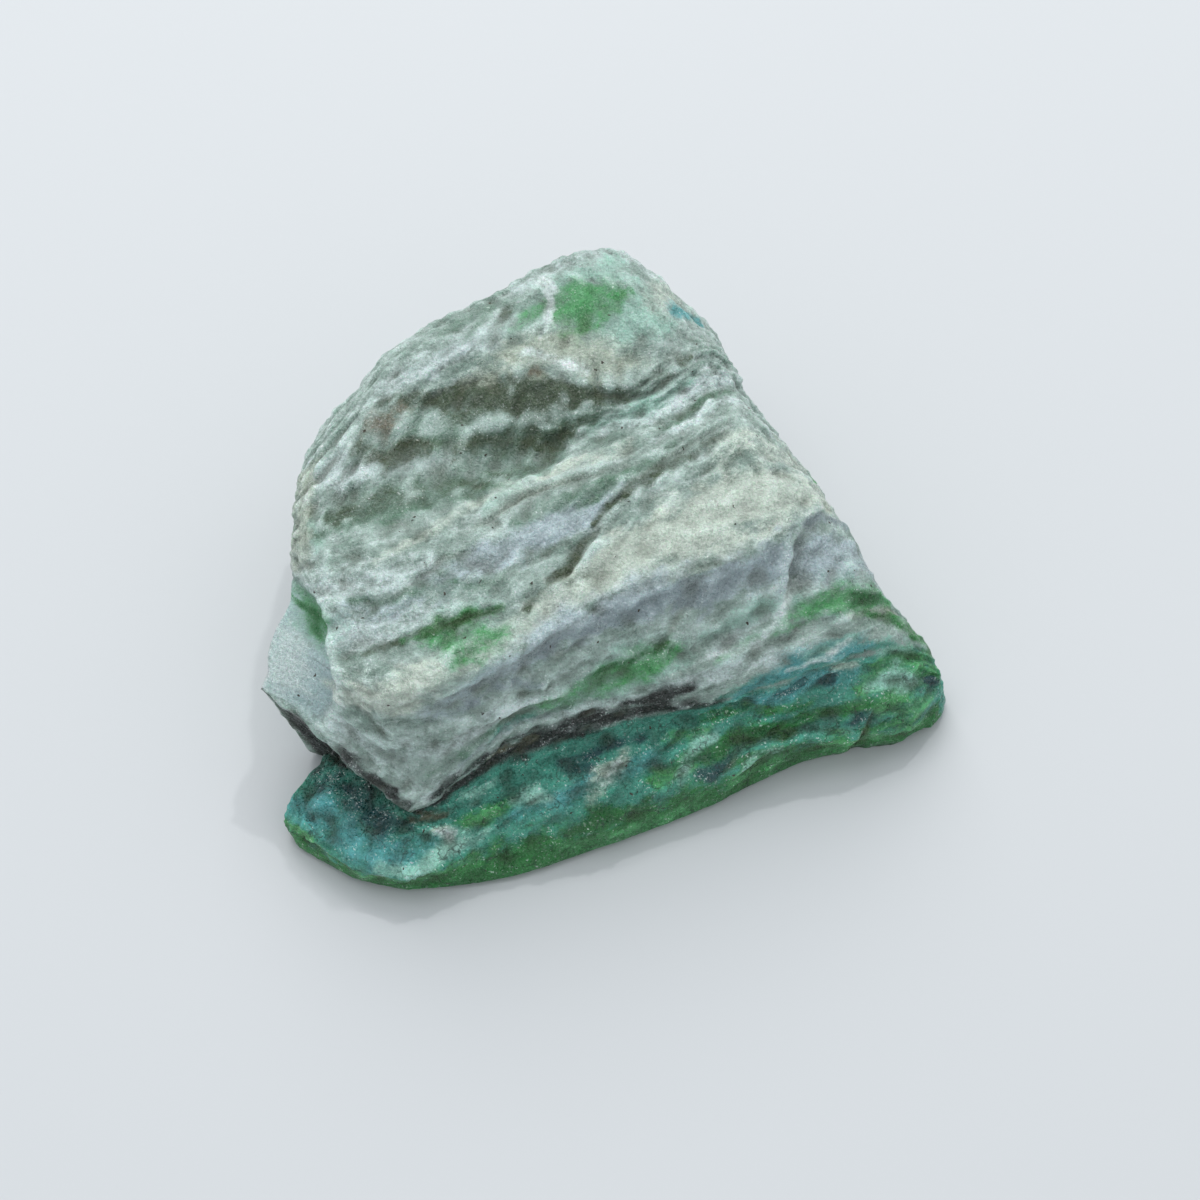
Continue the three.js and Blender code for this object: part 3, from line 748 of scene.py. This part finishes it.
         (7.5, 3.5, 0.8, 0.9)],
        # Painted shade under the lip.
        [(-19, 4.1, 0.5, 0.9), (-16.5, 4.2, 0.6, 1), (-14.2, 4.1, 0.4, 0.8)],
        [(-12.4, 4.1, 0.5, 0.8), (-10, 4.15, 0.6, 0.9), (-8, 4.1, 0.4, 0.7), (-3, 4.2, 0.5, 0.8),
         (0, 4.3, 0.5, 0.8), (3, 4.4, 0.8, 1), (6, 4.4, 0.5, 0.9)],
        # Painted shade under the overhang at the left end.
        [(-34, 3.3, 1.6, 0.9), (-23, 3.4, 2.0, 1), (-18, 3.1, 1.8, 1), (-15, 2.9, 1.3, 1)],
    ],
    "umber": [
        [(-14.2, 2.5, 0.5, 0.9), (-12.9, 2.7, 0.8, 1), (-11.7, 2.6, 0.5, 0.8)],
        [(-8, 4.0, 0.3, 0.6), (-5.5, 3.8, 0.4, 0.7)],
    ],
    "quartz": [
        [(-0.6, 1.7, 0.6, 0.7), (0.4, 2.2, 1.1, 0.9), (1.3, 2.5, 0.6, 0.7)],
        [(16.0, 3.2, 0.6, 0.6), (16.9, 3.1, 0.8, 0.7)],
        [(-5.4, 2.3, 0.5, 0.6)],
        [(-12.4, 2.1, 0.4, 0.7), (-11, 2.0, 0.4, 0.6)],
    ],
    "frost": [
        # Painted glints, among white crystals, on the crown.
        [(-5.0, 13.7, 0.4, 0.9), (-4.2, 13.2, 0.5, 1), (-4.4, 12.7, 0.3, 0.8)],
        [(-5.6, 12.3, 0.3, 0.7), (-3.4, 12.1, 0.3, 0.7), (-1.4, 12.2, 0.3, 0.7)],
        [(-12.2, 2.0, 0.3, 0.6), (-10.9, 1.9, 0.4, 0.8)],
        [(0.1, 1.9, 0.3, 0.6), (0.9, 2.4, 0.3, 0.6)],
        [(12.6, 4.0, 0.3, 0.5), (14.6, 3.9, 0.4, 0.6), (16.8, 4.2, 0.3, 0.5)],
        [(7.5, 5.3, 0.3, 0.6), (10.8, 5.0, 0.4, 0.6), (13.6, 6.2, 0.4, 0.8)],
    ],
}


# Loose white crystals that catch the light: more grains are picked here, glossy and painted whiter as painted
# glints.
GLITTER = [
    [(-5.2, 13.6, 0.5, 0.8), (-4.2, 13.2, 0.7, 1), (-4.4, 12.6, 0.5, 0.9)],
    [(-6, 12.2, 0.5, 0.8), (-3, 12.1, 0.6, 1), (-1, 12.2, 0.5, 0.8)],
    [(-18, 2.1, 0.5, 0.8), (-14.5, 1.9, 0.6, 1), (-12, 2.6, 0.5, 0.9)],
    [(0.5, 2.2, 1.0, 1), (11, 3.2, 0.8, 0.8), (17, 3.0, 0.8, 0.9)],
]
ragged = rough(stack(reach / 1.7, band / 1.2, 8.8), 4)


def share_of(veins, spread=1.0):
    """The strongest of a mineral's veins at each point: full inside, with a ragged, fading edge."""
    strongest = np.zeros(band.shape)
    for vein in veins:
        distance, side, values = beside(vein)
        inside = 1 - ease_step(distance / (values[..., 0] * spread) + 0.45 * ragged, 0.3, 1.4)
        strongest = np.maximum(strongest, inside * values[..., 1])
    return strongest


minerals = {name: share_of(veins) for name, veins in VEINS.items()}
behind_crease = warped_band - band_of_line[line_number["crease"]]
on_ledge = 1 - ease_step(behind_crease, 1.0, 2.0)
minerals["teal"] = np.maximum(minerals["teal"], on_ledge)
halo = share_of(VEINS["emerald"], 2.0) * (1 - on_ledge)
minerals["mint"] = np.maximum(minerals["mint"], 0.6 * halo)
# The dark minerals thin out on what stands out, so the knobs are painted paler than the gaps, partly as
# painted light on their tops.
knobs = ease_step(-hollows, 0.15, 0.8)
for name in ("olive", "fern", "slate", "rust"):
    minerals[name] *= 1 - 0.4 * knobs
# The rest are not minerals, but masks for the material.
minerals["hollows"] = hollows * (1 - in_chip)
minerals["dark_jade"] = on_ledge
minerals["smooth"] = in_chip
minerals["groove"] = np.clip(groove, 0, 1) * (1 - in_chip)
glitter = share_of(GLITTER)
crystalline = [minerals[name] for name in ("tan", "soot_and_shade", "indigo")]
minerals["sparkle"] = np.maximum.reduce([*crystalline, glitter])

# %% Shares and places on the mesh
def on_whole_mesh(values):
    """Values of the skin's points, followed by those of the sole: the outline's, drawn inwards."""
    flat = values.reshape(rows * columns, -1)
    around, centre = flat[outline], flat[outline].mean(axis=0)
    inwards = [centre + share * (around - centre) for share in SOLE_RINGS]
    return np.concatenate([flat, *inwards, centre[None]]).astype(np.float32).ravel()


for name, values in minerals.items():
    mesh.attributes.new(name, "FLOAT", "POINT").data.foreach_set("value", on_whole_mesh(values))
# Millimetres along the bands, across them and, so that no two bands look alike, up.
banded = stack(reach + bend, band + 0.5 * bend, 0.5 * skin[..., 2])
place_on_mesh = mesh.attributes.new("banded", "FLOAT_VECTOR", "POINT")
place_on_mesh.data.foreach_set("vector", on_whole_mesh(banded))
print(len(minerals), "shares on each point")

# %% [markdown]
# ## Node groups for banded stone
# Four small groups do the work of the material. One makes streaks of a given length and width, one
# lays a mineral over the stone below it with frayed edges, one picks out single crystals and tilts
# their faces so that they can glint, and one draws hairline cracks.

# %% A helper that adds nodes
class Nodes:
    """Adds nodes to a tree. An input is given in order: a socket is linked, a value is set."""

    def __init__(self, tree):
        self.tree = tree

    def add(self, kind, *inputs, **settings):
        node = self.tree.nodes.new("ShaderNode" + kind)
        for name, value in settings.items():
            setattr(node, name, value)
        for socket, value in zip(node.inputs, inputs):
            self.give(socket, value)
        return node

    def give(self, socket, value):
        if isinstance(value, bpy.types.NodeSocket):
            self.tree.links.new(value, socket)
        elif value is not None:
            socket.default_value = value

    def math(self, operation, *inputs):
        return self.add("Math", *inputs, operation=operation).outputs[0]

    def vector(self, operation, *inputs):
        node = self.add("VectorMath", *inputs, operation=operation)
        return node.outputs["Value" if operation == "DOT_PRODUCT" else "Vector"]

    def blend(self, share, below, above, mode="MIX"):
        node = self.add("Mix", data_type="RGBA", blend_type=mode)
        for place, value in ((0, share), (6, below), (7, above)):
            self.give(node.inputs[place], value)
        return node.outputs[2]

    def ramp(self, value, start, end, low_value=0.0, high_value=1.0):
        node = self.add("MapRange", value, start, end, low_value, high_value)
        node.interpolation_type = "SMOOTHSTEP"
        return node.outputs[0]


def new_group(name, inputs, outputs):
    """An empty node group with named sockets, given as (name, kind, value)."""
    group = bpy.data.node_groups.new(name, "ShaderNodeTree")
    for socket_name, kind, value in inputs:
        socket = group.interface.new_socket(socket_name, in_out="INPUT", socket_type="NodeSocket" + kind)
        if value is not None:
            socket.default_value = value
    for socket_name, kind in outputs:
        group.interface.new_socket(socket_name, in_out="OUTPUT", socket_type="NodeSocket" + kind)
    way_in = group.nodes.new("NodeGroupInput")
    way_out = group.nodes.new("NodeGroupOutput")
    return group, Nodes(group), way_in.outputs, way_out.inputs


# %% Streaks along the bands
streaks, make, given, result = new_group(
    "band_streaks",
    [("Place", "Vector", None), ("Length", "Float", 3.0), ("Width", "Float", 0.5), ("Detail", "Float", 4.0)],
    [("Streaks", "Float")])
squeeze = make.add("CombineXYZ", given["Length"], given["Width"], given["Width"]).outputs[0]
squeezed = make.vector("DIVIDE", given["Place"], squeeze)
streak_noise = make.add("TexNoise", squeezed, None, 1.0, given["Detail"], 0.6)
make.give(result["Streaks"], make.add("MapRange", streak_noise.outputs[0], 0.3, 0.7, -1.0, 1.0).outputs[0])
print("band_streaks: -1 to 1")

# %% A mineral over the stone
vein_group, make, given, result = new_group(
    "mineral_vein",
    [("Stone", "Color", None), ("Mineral", "Color", None), ("Share", "Float", 0.0), ("Streaks", "Float", 0.0),
     ("Fray", "Float", 1.5)],
    [("Stone", "Color")])
# Where the share is neither 0 nor 1, the streaks push it up or down, so only edges fray.
rest_share = make.math("SUBTRACT", 1.0, given["Share"])
edge = make.math("MULTIPLY", given["Share"], rest_share)
push = make.math("MULTIPLY", make.math("MULTIPLY", edge, given["Fray"]), given["Streaks"])
frayed = make.add("Clamp", make.math("ADD", given["Share"], push)).outputs[0]
make.give(result["Stone"], make.blend(frayed, given["Stone"], given["Mineral"]))
print("mineral_vein: a colour over a colour")

# %% Single crystals
crystals, make, given, result = new_group(
    "crystals",
    [("Place", "Vector", None), ("Size", "Float", 0.3), ("Share", "Float", 0.1)],
    [("Picked", "Float"), ("Facets", "Float"), ("Tone", "Float")])
cells = make.vector("DIVIDE", given["Place"], make.add(
    "CombineXYZ", given["Size"], given["Size"], given["Size"]).outputs[0])
cell = make.add("TexVoronoi", cells, None, 1.0)
tilt = make.vector("SUBTRACT", cell.outputs["Color"], (0.5, 0.5, 0.5))
from_middle = make.vector("SUBTRACT", cells, cell.outputs["Position"])
make.give(result["Facets"], make.vector("DOT_PRODUCT", tilt, from_middle))
chance, tone, _ = make.add("SeparateColor", cell.outputs["Color"]).outputs
make.give(result["Tone"], tone)
make.give(result["Picked"], make.math("LESS_THAN", chance, given["Share"]))
print("crystals: picked ones and tilted facets")

# %% Hairline cracks
hairlines, make, given, result = new_group(
    "hairlines",
    [("Place", "Vector", None), ("Size", "Float", 2.0), ("Width", "Float", 0.05)],
    [("Lines", "Float")])
cells = make.vector("DIVIDE", given["Place"], make.add(
    "CombineXYZ", given["Size"], given["Size"], given["Size"]).outputs[0])
border = make.add("TexVoronoi", cells, None, 1.0, feature="DISTANCE_TO_EDGE").outputs["Distance"]
relative_width = make.math("DIVIDE", given["Width"], given["Size"])
make.give(result["Lines"], make.ramp(border, 0.0, relative_width, 1.0, 0.0))
print("hairlines: 1 on the borders of the cells")

# %% [markdown]
# ## The jade
# The colour starts as pale sage with soft bands, and the minerals go over it one by one, from the
# widest clouds to the blackest seam. Jade lets some light in, so it gets a little subsurface
# scattering, greenish and about a millimetre deep. A raw break is dull between its crystals and
# bright on them, so roughness and bump both come from the crystals.

# %% Colours
COLOURS = {
    "white": (0.60, 0.72, 0.71),
    "cream": (0.58, 0.67, 0.59),
    "lavender": (0.45, 0.555, 0.59),
    "slate": (0.27, 0.34, 0.365),
    "mint": (0.36, 0.57, 0.49),
    "fern": (0.125, 0.23, 0.165),
    "olive": (0.065, 0.10, 0.058),
    "tan": (0.47, 0.55, 0.46),
    "rust": (0.20, 0.19, 0.14),
    "teal": (0.075, 0.33, 0.25),
    "lagoon": (0.10, 0.37, 0.38),
    "moss": (0.03, 0.20, 0.05),
    "emerald": (0.085, 0.34, 0.125),
    "pine": (0.02, 0.14, 0.035),
    "seafoam": (0.33, 0.62, 0.52),
    "indigo": (0.015, 0.07, 0.075),
    "soot_and_shade": (0.012, 0.015, 0.013),
    "umber": (0.12, 0.12, 0.075),
    "quartz": (0.40, 0.50, 0.42),
    "frost": (0.70, 0.82, 0.80),
}
SAGE = (0.43, 0.55, 0.505)
DEEP_SAGE = (0.25, 0.36, 0.31)
PALE_SAGE = (0.58, 0.70, 0.67)
ICE = (0.50, 0.66, 0.68)
GROOVE_SHADE = (0.15, 0.17, 0.09)
CREST_HIGHLIGHT = (0.64, 0.76, 0.75)
HAIRLINE = (0.02, 0.05, 0.035)
GLINT_WHITE = (0.84, 0.90, 0.88)
FLECK_SHADE = (0.4, 0.42, 0.38)
SPECK_BROWN = (0.05, 0.045, 0.03)
FRAY = 2.4  # how far the streaks push the edge of a mineral


def colour(rgb):
    return (*rgb, 1.0)


# %% The colour of the jade
jade = bpy.data.materials.new("jade")
jade.use_nodes = True
shader = jade.node_tree.nodes["Principled BSDF"]
make = Nodes(jade.node_tree)


def place_group(group, *inputs):
    node = make.add("Group", node_tree=group)
    for socket, value in zip(node.inputs, inputs):
        make.give(socket, value)
    return node


def share(name):
    return make.add("Attribute", attribute_name=name).outputs["Fac"]


in_bands = make.add("Attribute", attribute_name="banded").outputs["Vector"]
where = make.add("TexCoord").outputs["Object"]
in_mm = make.add("Mapping", where, None, None, (1 / MM,) * 3).outputs[0]
off_grid = make.add("TexNoise", in_mm, None, 2.5, 2.0).outputs["Color"]
in_grains = make.vector("ADD", in_mm, make.vector("MULTIPLY", off_grid, (0.35, 0.35, 0.35)))
calm = make.ramp(share("smooth"), 0.0, 1.0, 1.0, 0.2)
broad = make.math("MULTIPLY", place_group(streaks, in_bands, 7.0, 1.8, 4.0).outputs[0], calm)
fine = make.math("MULTIPLY", place_group(streaks, in_bands, 2.6, 0.8, 4.0).outputs[0], calm)
mottle = make.math("MULTIPLY", place_group(streaks, in_mm, 1.5, 1.1, 4.0).outputs[0], calm)
sugar = place_group(streaks, in_mm, 0.25, 0.2, 2.0).outputs[0]

stone_colour = make.blend(make.ramp(broad, -1.0, 1.0), colour(DEEP_SAGE), colour(SAGE))
clouds = make.math("ADD", make.math("MULTIPLY", mottle, 0.6), make.math("MULTIPLY", fine, 0.6))
stone_colour = make.blend(make.ramp(clouds, -0.3, 1.0), stone_colour, colour(PALE_SAGE))
stone_colour = make.blend(make.math("MULTIPLY", share("smooth"), 0.8), stone_colour, colour(ICE))
fraying = make.math("MULTIPLY", fine, 0.5)
for weight, part in ((0.8, mottle), (0.3, sugar)):
    fraying = make.math("MULTIPLY_ADD", part, weight, fraying)
for name, rgb in COLOURS.items():
    vein = place_group(vein_group, stone_colour, colour(rgb), share(name), fraying, FRAY)
    stone_colour = vein.outputs[0]
off_ledge = make.math("SUBTRACT", 1.0, share("dark_jade"))
# Painted highlight: what stands out, off the ledge, is painted whiter.
crests = make.math("MULTIPLY", make.ramp(share("hollows"), -1.0, -0.1, 0.28, 0.0), off_ledge)
stone_colour = make.blend(crests, stone_colour, colour(CREST_HIGHLIGHT))
# Painted shade, with some olive dirt: hollows and cracks are darkened towards GROOVE_SHADE.
hollow_shade = make.ramp(share("hollows"), 0.1, 1.0, 0.0, 0.28)
groove_and_hollow_shade = make.math("MAXIMUM", make.math("MULTIPLY", share("groove"), 0.8), hollow_shade)
stone_colour = make.blend(groove_and_hollow_shade, stone_colour, colour(GROOVE_SHADE))

# %% Sugar grain, single crystals and painted glints
GRAIN_SIZE = 0.10  # millimetres
FLECK_SIZE = 0.32
SPECK_SIZE = 0.17
SPECK_SHARE = 0.001

sparkle = share("sparkle")
dark_jade = share("dark_jade")
grains = place_group(crystals, in_grains, GRAIN_SIZE, make.ramp(sparkle, 0, 1, 0.14, 0.30))
flecks = place_group(crystals, in_grains, FLECK_SIZE, make.ramp(sparkle, 0, 1, 0.03, 0.15))
specks = place_group(crystals, in_grains, SPECK_SIZE, SPECK_SHARE)
# Painted glints: picked grains on what stands out are painted near white.
glint_colour = make.blend(0.6, stone_colour, colour(GLINT_WHITE))
on_crests = make.ramp(share("hollows"), -0.7, 0.5, 1.0, 0.15)
bright = make.math("MULTIPLY", make.ramp(grains.outputs["Tone"], 0.3, 1, 0.0, 0.9), on_crests)
glint = make.math("MULTIPLY", grains.outputs["Picked"], bright)
stone_colour = make.blend(glint, stone_colour, glint_colour)
darker = make.blend(1.0, stone_colour, colour(FLECK_SHADE), "MULTIPLY")
stone_colour = make.blend(make.math("MULTIPLY", flecks.outputs["Picked"], 0.35), stone_colour, darker)
stone_colour = make.blend(specks.outputs["Picked"], stone_colour, colour(SPECK_BROWN))

# %% Hairlines, uneven tone and painted shade in hollows
wander = make.add("TexNoise", in_mm, None, 0.9, 4.0).outputs["Color"]
warped_far = make.vector("ADD", in_mm, make.vector("MULTIPLY", wander, (2.4, 2.4, 2.4)))
lines = place_group(hairlines, warped_far, 2.2, 0.10).outputs[0]
lines = make.math("MULTIPLY", lines, make.ramp(mottle, -0.3, 0.4, 0.1, 0.7))
lines = make.math("MULTIPLY", lines, make.ramp(dark_jade, 0, 1, 0.25, 1.0))
stone_colour = make.blend(lines, stone_colour, colour(HAIRLINE))
unevenness_and_shade = make.math("MULTIPLY", sugar, 0.45)
# Painted shade: the hollows term darkens what lies hollow and brightens what stands out.
tones = (0.4, fine), (0.5, mottle), (0.7, grains.outputs["Tone"]), (-1.2, share("hollows"))
for weight, part in tones:
    unevenness_and_shade = make.math("MULTIPLY_ADD", part, weight, unevenness_and_shade)
tone_with_hollow_shade = make.ramp(unevenness_and_shade, -2.6, 3.2, 0.50, 1.52)
grain_and_hollow_tone = make.math("POWER", tone_with_hollow_shade, make.ramp(dark_jade, 0, 1, 1.0, 1.6))
grain_and_hollow_colour = make.add("CombineColor", grain_and_hollow_tone, grain_and_hollow_tone, grain_and_hollow_tone).outputs[0]
stone_colour = make.blend(1.0, stone_colour, grain_and_hollow_colour, "MULTIPLY")
make.give(shader.inputs["Base Color"], stone_colour)
print("crystals of", GRAIN_SIZE, "and", FLECK_SIZE, "mm")

# %% Gloss and bump
make.give(shader.inputs["Roughness"], make.ramp(grains.outputs["Picked"], 0, 1, 0.38, 0.10))
facets = make.math("ADD", make.math("MULTIPLY", grains.outputs["Facets"], 0.34),
                   make.math("MULTIPLY", flecks.outputs["Facets"], 0.12))
folds = make.math("ADD", make.math("MULTIPLY", mottle, 0.04), make.math("MULTIPLY", sugar, 0.07))
bump = make.add("Bump", 0.8, MM)
make.give(bump.inputs["Height"], make.math("ADD", facets, folds))
make.give(shader.inputs["Normal"], bump.outputs[0])
shader.inputs["Subsurface Weight"].default_value = 0.45
shader.inputs["Subsurface Radius"].default_value = (0.7, 1.0, 0.8)
shader.inputs["Subsurface Scale"].default_value = 0.7 * MM
shader.inputs["IOR"].default_value = 1.6
mesh.materials.append(jade)
print("jade has", len(jade.node_tree.nodes), "nodes")
